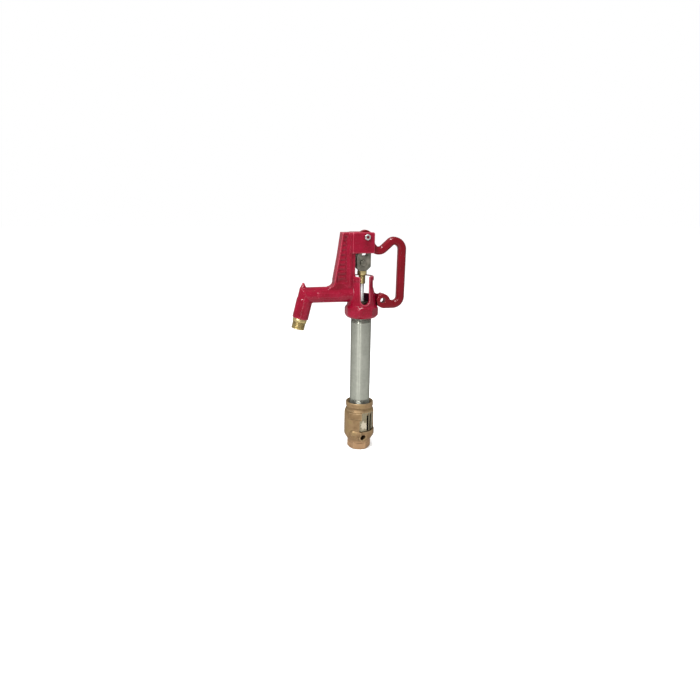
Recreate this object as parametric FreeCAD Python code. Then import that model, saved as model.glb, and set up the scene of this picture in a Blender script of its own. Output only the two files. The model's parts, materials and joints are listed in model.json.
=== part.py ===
"""Frost-proof yard hydrant with a lever head, a casing pipe and a bronze foot valve.

Millimetres.  The origin is the centre of the inlet mouth, +Z is up along the rod,
the spout points to -X and the lever hangs on the +X side.
"""
import FreeCAD, Part
import math
import os

V = FreeCAD.Vector
OUT_DIR = "parts"

# ---- driving dimensions ----------------------------------------------------
# casing pipe, NPS 1-1/4 schedule 40
PIPE_R = 21.1
PIPE_BORE_R = 17.55
PIPE_BASE = 88.0
PIPE_TOP = 302.0

# bronze foot valve
INLET_R = 15.9
INLET_LENGTH = 16.0
VALVE_HEX_AF = 43.6
VALVE_HEX_TOP = 22.0
VALVE_HEX_TURN = -12.0
BARREL_R = 32.3
BARREL_BASE = 33.5
SHOULDER_BASE = 80.0
BARREL_TOP = 88.0
BARREL_TOP_R = 30.0
CHAMBER_R = 28.7
CHAMBER_BASE = 38.0
SCREEN_WALL = 0.9
SEAT_R = 15.0
SEAT_BORE_R = 9.0
SEAT_BASE = 18.0
SEAT_TOP = 24.0
LINER_R = 18.0
LINER_BORE_R = 16.0
LINER_TOP = 86.0
COUPLING_R = 29.4
COUPLING_GROOVE_R = 28.2
COUPLING_BASE = 78.0
COUPLING_RIM_BASE = 95.5
COUPLING_TOP = 105.0
PAD_FROM, PAD_TO = -56.0, -5.0
PAD_BASE, PAD_TOP = 72.0, 85.0
WINDOW_FROM, WINDOW_TO = -13.0, 88.0
WINDOW_BASE, WINDOW_STEP, WINDOW_TOP = 43.0, 68.0, 85.0
DRAIN_TURN = 24.0
DRAIN_X, DRAIN_Y, DRAIN_Z = -0.5, -28.3, 30.8
DRAIN_BOSS_R = 8.5
DRAIN_BOSS_STAND = 2.0
DRAIN_HOLE_R = 5.9
DRAIN_BUSH_WALL = 0.5

# head casting
COLLAR_AF = 65.0
COLLAR_BASE = 287.0
COLLAR_BASE_R = 29.5
COLLAR_CORNER_R = 36.0
COLLAR_TOP = 312.0
NECK_TOP = 372.0
NECK_LIP_R = 24.6
WATERWAY_ROOF = 306.0
CAVITY_FLOOR = 313.0
CAVITY_R = 19.5
CAVITY_LEFT = -15.5
WINDOW_HALF = 9.5
WINDOW_SILL = 315.4
BACK_SILL = 333.0
RIM_UNDERSIDE = 369.5
ARM_Z = 335.0
ARM_R_ROOT = 16.6
ARM_R_ELBOW = 15.9
SPOUT_X = -116.0
SPOUT_TILT = 14.0
SPOUT_R = 15.3
SPOUT_BOSS_R = 16.3
SPOUT_BOSS_FROM = 9.0
SPOUT_LENGTH = 48.3
SPOUT_BORE_R = 10.0
COLUMN_RIGHT = -17.0
COLUMN_TOP = 459.0
COLUMN_HALF = 12.0
COLUMN_FOOT_X, COLUMN_FOOT_Z = -70.5, 351.0
PANEL_DEPTH = 2.0
PANEL_LEAN = 0.135
RUNG_COUNT = 9
RUNG_FIRST, RUNG_PITCH, RUNG_HEIGHT = 368.0, 9.6, 5.0
RUNG_LEFT, RUNG_RIGHT = -51.8, -38.0
RIDGE_LEFT, RIDGE_RIGHT = -30.5, -25.0
RIDGE_STAND = 1.5
CHEEK_RIGHT = 21.0
CHEEK_BASE = 418.0
CHEEK_TOP = 459.5
CHEEK_INNER = 10.0
CHEEK_OUTER = 17.5

# lever and linkage
FULCRUM_X, FULCRUM_Z = 4.7, 450.3
FULCRUM_BOLT_R = 3.97
FULCRUM_HEX_AF = 11.1
FULCRUM_HEAD = 5.0
FULCRUM_WASHER = 1.6
FULCRUM_WASHER_R = 6.6
FULCRUM_NUT = 6.6
BUSHING_R = 6.0
RUNNING = 0.05
HUB_R = 13.3
HUB_HALF = 6.7
LEVER_HALF = 8.0
LEVER_DEPTH = 8.75
LEVER_CHAMFER = 3.6
GRIP_FOOT_Z = 311.6
LINK_ARM = 13.0
LINK_ARM_ANGLE = 55.0
LINK_PIN_R = 3.175
LINK_HOLE_R = 4.2
LINK_HOLE_SHIFT = (0.826, -0.30)
LINK_EYE_R = 6.9
PLATE_INNER, PLATE_OUTER = 7.0, 9.5
SIGHT_SLOT_Z, SIGHT_SLOT_R, SIGHT_SLOT_LENGTH = 415.2, 3.3, 6.5
ROD_PIVOT_Z = 398.0
ROD_BOLT_AF = 11.1
ROD_BOLT_HEAD = 3.5
HEAD_GAP = 0.1
EYE_X, EYE_Z = 44.5, 319.5
EYE_R = 14.5
LOCK_X, LOCK_Z = 43.9, 320.3
LOCK_HOLE_R = 5.3
EAR_FRONT, EAR_BACK = 4.3, 11.0
EAR_GAP = 1.3

# rod, packing and hose thread
ROD_R = 4.75
ROD_BASE, ROD_TOP = 52.0, 394.0
SLEEVE_R = 7.2
SLEEVE_BASE = 356.0
LOCK_NUT_BASE = 374.0
LOCK_NUT_TOP = 382.0
LOCK_NUT_AF = 17.5
CONNECTOR_HALF = 8.0
CONNECTOR_TOP = 406.5
SET_SCREW_R = 2.0
SET_SCREW_Z = 388.5
GUIDE_BASE = 196.0
GUIDE_HEIGHT = 12.0
GUIDE_LOBES = 4
PLUNGER_R = 15.95
RING_GROOVE_R = 13.6
RING_HEIGHT = 3.0
RING_LEVELS = (40.0, 50.0)
PLUNGER_BASE = 29.6
SEAL_R = 13.6
SEAL_GAP = 0.1
PLUNGER_SCREW_R = 2.4
PACKING_NUT_AF = 28.0
PACKING_NUT_HEIGHT = 5.5
PACKING_THREAD_R = 11.0
PACKING_THREAD_BASE = 303.0
PACKING_R = 8.0
PACKING_TOP = 315.0
HOSE_THREAD_R = 13.5
HOSE_THREAD_LENGTH = 15.0
HOSE_BORE_R = 9.5
NOZZLE_FLANGE_R = 14.25
NOZZLE_FLANGE = 7.0
NOZZLE_SPIGOT_R = 13.1
NOZZLE_SPIGOT = 12.0

# places worked out from the above
SPOUT_AXIS = V(-math.sin(math.radians(SPOUT_TILT)), 0, -math.cos(math.radians(SPOUT_TILT)))
ELBOW = V(SPOUT_X, 0, ARM_Z)
SPOUT_END = ELBOW + SPOUT_AXIS * SPOUT_LENGTH
LINK_PIN_X = FULCRUM_X + LINK_ARM * math.cos(math.radians(LINK_ARM_ANGLE))
LINK_PIN_Z = FULCRUM_Z - LINK_ARM * math.sin(math.radians(LINK_ARM_ANGLE))
DRAIN_AXIS = V(math.sin(math.radians(DRAIN_TURN)), -math.cos(math.radians(DRAIN_TURN)), 0)
DRAIN_FACE = V(DRAIN_X, DRAIN_Y, DRAIN_Z) + DRAIN_AXIS * DRAIN_BOSS_STAND
EYE_INNER = EAR_FRONT - EAR_GAP
BIG = 200.0


# ---- helpers ---------------------------------------------------------------
def upright(radius, z0, z1, x=0.0, y=0.0):
    """Cylinder along Z."""
    return Part.makeCylinder(radius, z1 - z0, V(x, y, z0))


def crosswise(radius, x, z, y0=-BIG, y1=BIG):
    """Cylinder along Y; without y0 and y1 it passes right through."""
    return Part.makeCylinder(radius, y1 - y0, V(x, y0, z), V(0, 1, 0))


def along(radius, start, direction, length):
    """Cylinder from a point in any direction."""
    return Part.makeCylinder(radius, length, start, direction)


def tube(outer, inner, z0, z1):
    """Upright pipe."""
    return upright(outer, z0, z1).cut(upright(inner, z0 - 1, z1 + 1))


def block(x0, x1, y0, y1, z0, z1):
    """Box from its six faces."""
    return Part.makeBox(x1 - x0, y1 - y0, z1 - z0, V(x0, y0, z0))


def turned(profile):
    """Solid of revolution about Z from a closed list of (radius, z)."""
    points = [V(r, 0, z) for r, z in profile]
    face = Part.Face(Part.makePolygon(points + points[:1]))
    return face.revolve(V(0, 0, 0), V(0, 0, 1), 360)


def side_prism(outline, y0, y1):
    """Prism along Y from a closed list of (x, z)."""
    points = [V(x, y0, z) for x, z in outline]
    face = Part.Face(Part.makePolygon(points + points[:1]))
    return face.extrude(V(0, y1 - y0, 0))


def sector(radius, first, last, z0, z1):
    """Upright pie slice; the angles run from -Y round towards +X."""
    slice_ = Part.makeCylinder(radius, z1 - z0, V(0, 0, z0), V(0, 0, 1), last - first)
    slice_.rotate(V(0, 0, 0), V(0, 0, 1), first - 90)
    return slice_


def many_sided(sides, across_flats, z0, z1, turn=0.0):
    """Regular prism along Z; a flat faces `turn` degrees round from +X."""
    radius = across_flats / 2 / math.cos(math.pi / sides)
    step = 360.0 / sides
    points = []
    for i in range(sides):
        angle = math.radians(turn + step * (i + 0.5))
        points.append(V(radius * math.cos(angle), radius * math.sin(angle), z0))
    face = Part.Face(Part.makePolygon(points + points[:1]))
    return face.extrude(V(0, 0, z1 - z0))


def hex_crosswise(across_flats, x, z, y0, y1):
    """Hexagonal prism along Y."""
    prism = many_sided(6, across_flats, 0, y1 - y0)
    prism.rotate(V(0, 0, 0), V(1, 0, 0), -90)
    prism.translate(V(x, y0, z))
    return prism


def hex_head(across_flats, x, z, y0, y1):
    """Bolt head along Y whose outer corners (at y0) are bevelled by a cone."""
    half = across_flats / 2
    cone = Part.makeCone(half - 0.3, half + (y1 - y0), y1 - y0, V(x, y0, z), V(0, 1, 0))
    return hex_crosswise(across_flats, x, z, y0, y1).common(cone)


def fused(shapes):
    """One clean solid from overlapping ones."""
    return shapes[0].fuse(shapes[1:]).removeSplitter()


def less(shape, cutters):
    """A shape with a list of others taken away."""
    for cutter in cutters:
        shape = shape.cut(cutter)
    return shape


def filleted_path(corners):
    """Wire through (x, z, radius) corners, with each inner corner rounded."""
    edges = []
    here = V(corners[0][0], 0, corners[0][1])
    for before, corner, after in zip(corners, corners[1:], corners[2:]):
        point = V(corner[0], 0, corner[1])
        back = (V(before[0], 0, before[1]) - point).normalize()
        ahead = (V(after[0], 0, after[1]) - point).normalize()
        half = back.getAngle(ahead) / 2
        reach = corner[2] / math.tan(half)
        enter = point + back * reach
        leave = point + ahead * reach
        centre = point + (back + ahead).normalize() * (corner[2] / math.sin(half))
        middle = centre + (point - centre).normalize() * corner[2]
        edges.append(Part.makeLine(here, enter))
        edges.append(Part.Arc(enter, middle, leave).toShape())
        here = leave
    edges.append(Part.makeLine(here, V(corners[-1][0], 0, corners[-1][1])))
    return Part.Wire(edges)


def octagon_section(start, tangent, half_wide, half_deep, chamfer):
    """Chamfered rectangle across the path: half_wide in the XZ plane, half_deep in Y."""
    side = tangent.cross(V(0, 1, 0)).normalize()
    wide, deep = half_wide - chamfer, half_deep - chamfer
    corners = [(half_wide, -deep), (half_wide, deep), (wide, half_deep), (-wide, half_deep),
               (-half_wide, deep), (-half_wide, -deep), (-wide, -half_deep), (wide, -half_deep)]
    points = [start + side * a + V(0, b, 0) for a, b in corners]
    return Part.makePolygon(points + points[:1])


# ---- head casting ----------------------------------------------------------
def collar():
    """Octagonal collar with turned bevels above and below."""
    bevel = turned([(0, COLLAR_BASE), (COLLAR_BASE_R, COLLAR_BASE),
                    (COLLAR_CORNER_R, COLLAR_BASE + 7), (COLLAR_CORNER_R, COLLAR_TOP - 6.5),
                    (30.5, COLLAR_TOP), (0, COLLAR_TOP)])
    return many_sided(8, COLLAR_AF, COLLAR_BASE, COLLAR_TOP).common(bevel)


def neck():
    """Tapered neck with a lip round its mouth."""
    return turned([(0, COLLAR_TOP - 4), (30.6, COLLAR_TOP - 4), (29.5, COLLAR_TOP + 4),
                   (26.4, 339), (23.2, 350), (23.0, 362), (NECK_LIP_R, 364),
                   (NECK_LIP_R, NECK_TOP - 1), (NECK_LIP_R - 0.8, NECK_TOP), (0, NECK_TOP)])


def column_outline():
    """Side face of the column, with its filleted foot on the spout arm."""
    foot_top = V(-60, 0, 364)
    foot_end = V(COLUMN_FOOT_X, 0, COLUMN_FOOT_Z)
    foot = Part.Arc(foot_top, V(-62.15, 0, 354.99), foot_end).toShape()
    corners = [foot_end, V(COLUMN_FOOT_X, 0, ARM_Z), V(COLUMN_RIGHT, 0, ARM_Z),
               V(COLUMN_RIGHT, 0, COLUMN_TOP), V(-44.2, 0, COLUMN_TOP), V(-51.2, 0, 412), foot_top]
    return Part.Wire([foot] + [Part.makeLine(a, b) for a, b in zip(corners, corners[1:])])


def column():
    """Tapered column over the spout arm, with a framed panel on both faces."""
    face = Part.Face(column_outline())
    face.translate(V(0, -COLUMN_HALF, 0))
    body = face.extrude(V(0, 2 * COLUMN_HALF, 0))
    panel = [(-34, 452), (-40.4, 452), (-46.6, 411), (-55.2, 364), (-55.2, 360), (-34, 360)]
    floor = COLUMN_HALF - PANEL_DEPTH
    return less(body, [side_prism(panel, -BIG, -floor), side_prism(panel, floor, BIG)])


def panel_rungs():
    """Plain raised bars across both panels of the column."""
    rungs = []
    root, top = COLUMN_HALF - PANEL_DEPTH - 0.5, COLUMN_HALF - 0.6
    for i in range(RUNG_COUNT):
        z = RUNG_FIRST + RUNG_PITCH * i
        left = RUNG_LEFT + (z - RUNG_FIRST) * PANEL_LEAN
        rungs.append(block(left, RUNG_RIGHT, -top, -root, z, z + RUNG_HEIGHT))
        rungs.append(block(left, RUNG_RIGHT, root, top, z, z + RUNG_HEIGHT))
    return rungs


def ridge():
    """Upright rib between the panel and the yoke."""
    half = COLUMN_HALF + RIDGE_STAND
    return block(RIDGE_LEFT, RIDGE_RIGHT, -half, half, 352, COLUMN_TOP)


def yoke():
    """Two cheeks that hold the fulcrum bolt, joined behind by a web."""
    solid = block(RIDGE_RIGHT, CHEEK_RIGHT, -CHEEK_OUTER, CHEEK_OUTER, CHEEK_BASE, CHEEK_TOP)
    corners = [e for e in solid.Edges
               if e.BoundBox.XMin > CHEEK_RIGHT - 0.1 and e.BoundBox.YLength > 1]
    solid = solid.makeFillet(2.5, corners)
    slot = block(COLUMN_RIGHT, BIG, -CHEEK_INNER, CHEEK_INNER, CHEEK_BASE - 1, CHEEK_TOP + BIG)
    return solid.cut(slot)


def mitred(shape, keep_spout_side):
    """Cut a shape at the elbow's mitre plane."""
    normal = (V(-1, 0, 0) + SPOUT_AXIS).normalize()
    cutter = Part.makeBox(BIG, BIG, BIG, V(-BIG / 2, -BIG / 2, 0))
    cutter.Placement = FreeCAD.Placement(V(0, 0, 0), FreeCAD.Rotation(V(0, 0, 1), normal))
    cutter.translate(ELBOW)
    return shape.common(cutter) if keep_spout_side else shape.cut(cutter)


def spout_arm():
    """Tapered round arm from the neck out to the elbow."""
    reach = 28.0
    arm = Part.makeCone(ARM_R_ROOT, ARM_R_ELBOW, reach - SPOUT_X, V(0, 0, ARM_Z), V(-1, 0, 0))
    return mitred(arm, False)


def spout():
    """Downturned spout with a thicker boss round the nozzle's socket."""
    overlap = 30.0
    pipe = along(SPOUT_R, ELBOW - SPOUT_AXIS * overlap, SPOUT_AXIS, overlap + SPOUT_LENGTH)
    boss = along(SPOUT_BOSS_R, ELBOW + SPOUT_AXIS * SPOUT_BOSS_FROM, SPOUT_AXIS,
                 SPOUT_LENGTH - SPOUT_BOSS_FROM)
    return mitred(pipe, True).fuse(boss)


def pail_hook():
    """Blunt nub on the elbow that stops a pail's handle from sliding off."""
    base_r, tip_r, height = 7.6, 2.0, 14.5
    return Part.makeCone(base_r, tip_r, height, V(-121, 0, 346))


def arm_pad():
    """Plain raised pad on the front of the spout arm."""
    return block(-94, -50, -17.2, -8, 330, 341)


def lock_ear():
    """Ear beside the lever's eye, so that one padlock goes through both."""
    ear = crosswise(EYE_R, EYE_X, EYE_Z, EAR_FRONT, EAR_BACK)
    web = side_prism([(18, 312), (40, 306), (EYE_X, EYE_Z + EYE_R), (36, 340), (18, 340)],
                     EAR_FRONT, EAR_BACK)
    return ear.fuse(web.cut(crosswise(9.0, 36.5, 342.5)))


def neck_openings():
    """Neck cavity, the round-bottomed window in front and the opening behind."""
    cavity = upright(CAVITY_R, CAVITY_FLOOR, NECK_TOP + 1)
    cavity = cavity.common(block(CAVITY_LEFT, BIG, -BIG, BIG, 0, 2 * BIG))
    spring = WINDOW_SILL + WINDOW_HALF
    return [
        cavity,
        crosswise(WINDOW_HALF, 0, spring, -BIG, 0),
        block(-WINDOW_HALF, WINDOW_HALF, -BIG, 0, spring, NECK_TOP + 1),
        block(-12.5, 40, 5, 40, BACK_SILL, RIM_UNDERSIDE),
    ]


def waterways():
    """Pipe socket, packing gland and the passage out to the nozzle's socket."""
    passage_half, passage_end = 8.0, -18.5
    return [
        upright(PIPE_R, COLLAR_BASE - 1, PIPE_TOP),
        upright(CAVITY_R - 1.5, COLLAR_BASE, WATERWAY_ROOF),
        upright(PACKING_THREAD_R, WATERWAY_ROOF - 1, CAVITY_FLOOR + 1),
        block(-25, -10, -passage_half, passage_half, PIPE_TOP - 1, WATERWAY_ROOF),
        block(-25, passage_end, -passage_half, passage_half, WATERWAY_ROOF - 1, ARM_Z),
        along(SPOUT_BORE_R, V(passage_end, 0, ARM_Z), V(-1, 0, 0), passage_end - SPOUT_X),
        Part.makeSphere(SPOUT_BORE_R, ELBOW),
        along(SPOUT_BORE_R, ELBOW, SPOUT_AXIS, SPOUT_LENGTH + 1),
        along(NOZZLE_SPIGOT_R, SPOUT_END - SPOUT_AXIS * NOZZLE_SPIGOT, SPOUT_AXIS, NOZZLE_SPIGOT + 1),
    ]


def bolt_holes():
    """Padlock hole, fulcrum hole, and pockets that clear the rod bolt when it is up."""
    pocket_y, pocket_half, pocket_top = 14.2, 9.0, CHEEK_BASE + 6
    near = CHEEK_INNER - 0.5
    return [
        crosswise(LOCK_HOLE_R, LOCK_X, LOCK_Z, 0, 20),
        crosswise(FULCRUM_BOLT_R, FULCRUM_X, FULCRUM_Z),
        block(-pocket_half, pocket_half, -pocket_y, -near, CHEEK_BASE - 1, pocket_top),
        block(-pocket_half, pocket_half, near, pocket_y, CHEEK_BASE - 1, pocket_top),
    ]


def head_casting():
    solids = [collar(), neck(), column(), ridge(), yoke(), spout_arm(), spout(),
              pail_hook(), arm_pad(), lock_ear()]
    body = fused(solids + panel_rungs())
    return less(body, waterways() + neck_openings() + bolt_holes()).removeSplitter()


# ---- lever -----------------------------------------------------------------
def lever_path():
    """Centre line from the hub, over the crest, down the grip and in to the eye."""
    return filleted_path([
        (FULCRUM_X, FULCRUM_Z, 0),
        (31.5, 414.8, 15.5),
        (63.6, 443.2, 11.0),
        (83.6, 436.0, 17.5),
        (82.4, GRIP_FOOT_Z, 15.5),
        (EYE_X, GRIP_FOOT_Z, 0),
    ])


def lever_bar():
    """Chamfered square bar swept along the lever's path."""
    path = lever_path()
    first = path.Edges[0]
    start = first.Vertexes[0].Point
    tangent = (first.Vertexes[1].Point - start).normalize()
    section = octagon_section(start, tangent, LEVER_HALF, LEVER_DEPTH, LEVER_CHAMFER)
    return path.makePipeShell([section], True, False)


def lever_eye():
    """Padlock eye with a filleted web into the grip's foot."""
    eye = crosswise(EYE_R, EYE_X, EYE_Z, -LEVER_DEPTH, EYE_INNER)
    fillet = 8.0
    fillet_z = GRIP_FOOT_Z + LEVER_HALF + fillet
    fillet_x = EYE_X + math.sqrt((EYE_R + fillet) ** 2 - (fillet_z - EYE_Z) ** 2)
    web = side_prism([(EYE_X, 312), (EYE_X + 13.4, 325.0), (fillet_x, 319.4), (fillet_x, 312)],
                     -LEVER_DEPTH, EYE_INNER)
    return eye.fuse(web.cut(crosswise(fillet, fillet_x, fillet_z)))


def operating_handle():
    hub = crosswise(HUB_R, FULCRUM_X, FULCRUM_Z, -HUB_HALF, HUB_HALF)
    lever = fused([lever_bar(), hub, lever_eye()])
    return less(lever, [
        block(-20, CHEEK_RIGHT - 0.3, -20, -HUB_HALF, 400, 470),
        block(-20, CHEEK_RIGHT - 0.3, HUB_HALF, 20, 400, 470),
        block(25, EYE_X + EYE_R + 1.5, EYE_INNER, 20, 296, 345),
        crosswise(LOCK_HOLE_R, LOCK_X, LOCK_Z),
        crosswise(BUSHING_R, FULCRUM_X, FULCRUM_Z),
        crosswise(LINK_PIN_R, LINK_PIN_X, LINK_PIN_Z),
    ]).removeSplitter()


def fulcrum_bushing():
    outer = crosswise(BUSHING_R, FULCRUM_X, FULCRUM_Z, -HUB_HALF, HUB_HALF)
    return outer.cut(crosswise(FULCRUM_BOLT_R + RUNNING, FULCRUM_X, FULCRUM_Z))


def link_pin():
    return crosswise(LINK_PIN_R, LINK_PIN_X, LINK_PIN_Z, -PLATE_OUTER, PLATE_OUTER)


# ---- fulcrum bolt set ------------------------------------------------------
def fulcrum_bolt():
    head = hex_head(FULCRUM_HEX_AF, FULCRUM_X, FULCRUM_Z, -CHEEK_OUTER - FULCRUM_HEAD, -CHEEK_OUTER)
    tail = CHEEK_OUTER + FULCRUM_WASHER + FULCRUM_NUT + 1.3
    return fused([head, crosswise(FULCRUM_BOLT_R, FULCRUM_X, FULCRUM_Z, -CHEEK_OUTER, tail)])


def fulcrum_nut():
    near = CHEEK_OUTER + FULCRUM_WASHER
    nut = hex_crosswise(12.7, FULCRUM_X, FULCRUM_Z, near, near + FULCRUM_NUT)
    return nut.cut(crosswise(FULCRUM_BOLT_R, FULCRUM_X, FULCRUM_Z))


def fulcrum_lock_washer():
    """Spring washer, split on the side away from the spout."""
    far = CHEEK_OUTER + FULCRUM_WASHER
    ring = crosswise(FULCRUM_WASHER_R, FULCRUM_X, FULCRUM_Z, CHEEK_OUTER, far)
    split = block(FULCRUM_X, FULCRUM_X + 10, 0, 40, FULCRUM_Z - 0.4, FULCRUM_Z + 0.4)
    return less(ring, [crosswise(FULCRUM_BOLT_R, FULCRUM_X, FULCRUM_Z), split])


# ---- link ------------------------------------------------------------------
def link_plate(y0, y1):
    """Broad plate: rod bolt below, sight slot in the middle, lever pin above."""
    pin_x = LINK_PIN_X + LINK_HOLE_SHIFT[0]
    pin_z = LINK_PIN_Z + LINK_HOLE_SHIFT[1]
    outline = [(-8.3, 383.6), (8.3, 383.6), (15.6, 391), (15.6, 424), (pin_x + LINK_EYE_R, pin_z),
               (pin_x - LINK_EYE_R, pin_z - 2), (0, 427), (-13.2, 414), (-13.2, 388.6)]
    plate = fused([side_prism(outline, y0, y1), crosswise(LINK_EYE_R, pin_x, pin_z, y0, y1)])
    return less(plate, [
        crosswise(SIGHT_SLOT_R, 0, SIGHT_SLOT_Z),
        crosswise(SIGHT_SLOT_R, SIGHT_SLOT_LENGTH, SIGHT_SLOT_Z),
        block(0, SIGHT_SLOT_LENGTH, -20, 20, SIGHT_SLOT_Z - SIGHT_SLOT_R, SIGHT_SLOT_Z + SIGHT_SLOT_R),
        crosswise(LINK_HOLE_R, pin_x, pin_z),
        crosswise(LINK_PIN_R + RUNNING, 0, ROD_PIVOT_Z),
    ])


def link_plate_front():
    return link_plate(-PLATE_OUTER, -PLATE_INNER)


def link_plate_back():
    return link_plate(PLATE_INNER, PLATE_OUTER)


# ---- operating rod and its fittings ----------------------------------------
def rod_connector():
    """Block between the plates that the rod screws into."""
    solid = block(-CONNECTOR_HALF, CONNECTOR_HALF, -HUB_HALF, HUB_HALF, LOCK_NUT_TOP, CONNECTOR_TOP)
    return less(solid, [
        upright(ROD_R, LOCK_NUT_TOP - 1, ROD_TOP),
        crosswise(LINK_PIN_R, 0, ROD_PIVOT_Z),
        along(SET_SCREW_R, V(ROD_R - 0.5, 0, SET_SCREW_Z), V(1, 0, 0), 10),
    ])


def set_screw():
    reach = 1.15
    return along(SET_SCREW_R, V(ROD_R, 0, SET_SCREW_Z), V(1, 0, 0), CONNECTOR_HALF - ROD_R + reach)


def rod_bolt():
    face = PLATE_OUTER + HEAD_GAP
    head = hex_head(ROD_BOLT_AF, 0, ROD_PIVOT_Z, -face - ROD_BOLT_HEAD, -face)
    return fused([head, crosswise(LINK_PIN_R, 0, ROD_PIVOT_Z, -face, PLATE_OUTER + 3.8)])


def rod_bolt_nut():
    face = PLATE_OUTER + HEAD_GAP
    nut = hex_crosswise(ROD_BOLT_AF, 0, ROD_PIVOT_Z, face, face + ROD_BOLT_HEAD)
    return nut.cut(crosswise(LINK_PIN_R, 0, ROD_PIVOT_Z))


def lock_nut():
    nut = many_sided(6, LOCK_NUT_AF, LOCK_NUT_BASE, LOCK_NUT_TOP, 90)
    return nut.cut(upright(SLEEVE_R, 0, 2 * BIG))


def adjusting_sleeve():
    return tube(SLEEVE_R, ROD_R, SLEEVE_BASE, LOCK_NUT_TOP)


def operating_rod():
    return upright(ROD_R, ROD_BASE, ROD_TOP)


def rod_guide():
    """Lobed guide that keeps the rod central in the pipe and lets water pass."""
    clearance, lobe_r, lobe_at = 0.25, 6.5, 15.0
    ring = tube(PIPE_BORE_R - clearance, ROD_R, GUIDE_BASE, GUIDE_BASE + GUIDE_HEIGHT)
    for i in range(GUIDE_LOBES):
        angle = 2 * math.pi * (i + 0.5) / GUIDE_LOBES
        x, y = lobe_at * math.cos(angle), lobe_at * math.sin(angle)
        ring = ring.cut(upright(lobe_r, GUIDE_BASE - 1, GUIDE_BASE + GUIDE_HEIGHT + 1, x, y))
    return ring


def plunger_body():
    """Hollow brass plunger with two ring grooves and cross ports."""
    nose_r, crown_r, port_r, port_z = 11.0, 8.0, 2.5, 46.5
    blank = turned([(0, PLUNGER_BASE), (nose_r, PLUNGER_BASE), (nose_r, 34), (PLUNGER_R, 36),
                    (PLUNGER_R, 58), (crown_r, 62), (0, 62)])
    cutters = [tube(PLUNGER_R + 1, RING_GROOVE_R, z, z + RING_HEIGHT) for z in RING_LEVELS]
    cutters.append(upright(ROD_R, ROD_BASE, 70))
    cutters.append(upright(PLUNGER_SCREW_R, PLUNGER_BASE - 1, 40))
    cutters.append(along(port_r, V(0, 0, port_z), V(1, 0, 0), 30))
    cutters.append(along(port_r, V(0, 0, port_z), V(0, 1, 0), 30))
    return less(blank, cutters)


def plunger_rings():
    rings = [tube(PLUNGER_R - RUNNING, RING_GROOVE_R, z, z + RING_HEIGHT) for z in RING_LEVELS]
    return Part.makeCompound(rings)


def plunger_seal():
    return tube(SEAL_R, PLUNGER_SCREW_R, SEAT_TOP + SEAL_GAP, PLUNGER_BASE)


def plunger_screw():
    head_r, head_height = 4.6, 2.7
    seal_face = SEAT_TOP + SEAL_GAP
    head = upright(head_r, seal_face - head_height, seal_face)
    return fused([head, upright(PLUNGER_SCREW_R, SEAT_TOP - 1, 39)])


# ---- packing ---------------------------------------------------------------
def packing_nut():
    top = CAVITY_FLOOR + PACKING_NUT_HEIGHT
    head = many_sided(6, PACKING_NUT_AF, CAVITY_FLOOR, top)
    bevel = turned([(0, CAVITY_FLOOR), (17, CAVITY_FLOOR), (17, top - 1.5), (14.2, top), (0, top)])
    crown = upright(8.6, top - 1, top + 1.5)
    thread = upright(PACKING_THREAD_R, PACKING_THREAD_BASE, CAVITY_FLOOR)
    nut = fused([head.common(bevel), crown, thread])
    rod_hole = upright(ROD_R + 2 * RUNNING, 300, 340)
    return less(nut, [rod_hole, upright(PACKING_R, PACKING_THREAD_BASE - 1, PACKING_TOP)])


def stem_packing():
    return tube(PACKING_R, ROD_R + RUNNING, PACKING_THREAD_BASE + 1.5, PACKING_TOP)


def packing_washer():
    return tube(PACKING_R, ROD_R + 2 * RUNNING, PACKING_THREAD_BASE, PACKING_THREAD_BASE + 1.5)


# ---- pipe and foot valve ---------------------------------------------------
def casing_pipe():
    return tube(PIPE_R, PIPE_BORE_R, PIPE_BASE, PIPE_TOP)


def wrench_hexagon():
    """Hexagon at the inlet, with its bottom corners bevelled."""
    hexagon = many_sided(6, VALVE_HEX_AF, 0, VALVE_HEX_TOP, VALVE_HEX_TURN - 90)
    bevel = turned([(0, 0), (21.5, 0), (25.8, 3.5), (25.8, VALVE_HEX_TOP + 1), (0, VALVE_HEX_TOP + 1)])
    return hexagon.common(bevel)


def valve_shell():
    """Barrel with a narrow waist below and a rounded shoulder above."""
    return turned([(0, 15), (23.4, 15), (24.9, 19), (28.6, 25.3), (31.3, 29.5), (BARREL_R, BARREL_BASE),
                   (BARREL_R, SHOULDER_BASE), (31.7, 83), (BARREL_TOP_R, BARREL_TOP), (0, BARREL_TOP)])


def barrel_pad():
    """Plain raised pad on the front of the barrel."""
    return sector(BARREL_R + 1.1, PAD_FROM, PAD_TO, PAD_BASE, PAD_TOP)


def drain_bosses():
    """Boss round the drain port and the rounded swelling of the passage beside it."""
    boss_length = 16.0
    boss = along(DRAIN_BOSS_R, DRAIN_FACE - DRAIN_AXIS * boss_length, DRAIN_AXIS, boss_length)
    left, right = V(-17.0, -21.5, 39.3), V(-1.5, -27.2, 38.0)
    swelling = along(DRAIN_BOSS_R, left, right - left, (right - left).Length)
    return [boss, swelling, Part.makeSphere(DRAIN_BOSS_R, left)]


def drain_hole(radius, depth, length):
    """Cylinder on the drain port's axis, starting `depth` behind the boss face."""
    return along(radius, DRAIN_FACE - DRAIN_AXIS * depth, DRAIN_AXIS, length)


def valve_window():
    """Opening in the barrel wall, wider below than above."""
    reach = BARREL_R + 5
    low = sector(reach, WINDOW_FROM, WINDOW_TO, WINDOW_BASE, WINDOW_STEP)
    high = sector(reach, PAD_TO, WINDOW_TO, WINDOW_BASE, WINDOW_TOP)
    return low.fuse(high).cut(upright(CHAMBER_R - 1, 0, BIG))


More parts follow.
